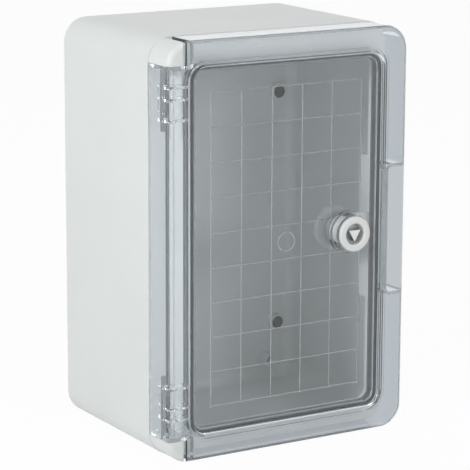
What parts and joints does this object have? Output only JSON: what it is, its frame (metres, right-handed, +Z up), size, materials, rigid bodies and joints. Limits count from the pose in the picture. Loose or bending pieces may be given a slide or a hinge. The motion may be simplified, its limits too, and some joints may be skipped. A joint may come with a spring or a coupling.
{
  "type": "enclosure",
  "caption": "Wall-mounted plastic enclosure with a hinged clear door, a recessed window panel, a rubber door gasket, a finger pull and a quarter-turn triangle-key lock.",
  "frame": {"origin": "centre of the flat rear face that lies against the wall", "axes": "+X to the right seen from the front, +Z up, +Y into the wall; the door faces -Y"},
  "size_m": [0.2, 0.164, 0.3],
  "materials": {
    "abs_grey": "moulded ABS, light grey, satin",
    "clear_polycarbonate": "clear moulded polycarbonate, polished",
    "rubber": "moulded rubber, matt",
    "steel_pin": "drawn steel rod, bright",
    "lock_plastic": "moulded polyamide, light grey, satin",
    "zinc_plate": "zinc-plated steel",
    "die_cast_zinc": "die-cast zinc, satin"
  },
  "bodies": {
    "case": {"body": "abs_grey", "hinge_pin_upper": "steel_pin", "hinge_pin_lower": "steel_pin", "plate_inserts": "zinc_plate", "wall_plugs": "rubber"},
    "door_leaf": {"door": "clear_polycarbonate", "door_gasket": "rubber", "lock_housing": "lock_plastic", "lock_seal": "rubber", "lock_nut": "lock_plastic"},
    "lock_turn": {"lock_core": "die_cast_zinc", "core_oring": "rubber", "lock_cam": "lock_plastic", "cam_washer": "zinc_plate", "cam_screw": "zinc_plate"}
  },
  "joints": [
    {"name": "door_hinge", "type": "hinge", "parent": "case", "child": "door_leaf", "pos_m": [-0.095, -0.1435, 0], "axis": [0, 0, -1], "range_deg": [0, 180]},
    {"name": "lock_quarter_turn", "type": "hinge", "parent": "door_leaf", "child": "lock_turn", "pos_m": [0.05, -0.15, 0.0025], "axis": [0, -1, 0], "range_deg": [0, 90]}
  ]
}
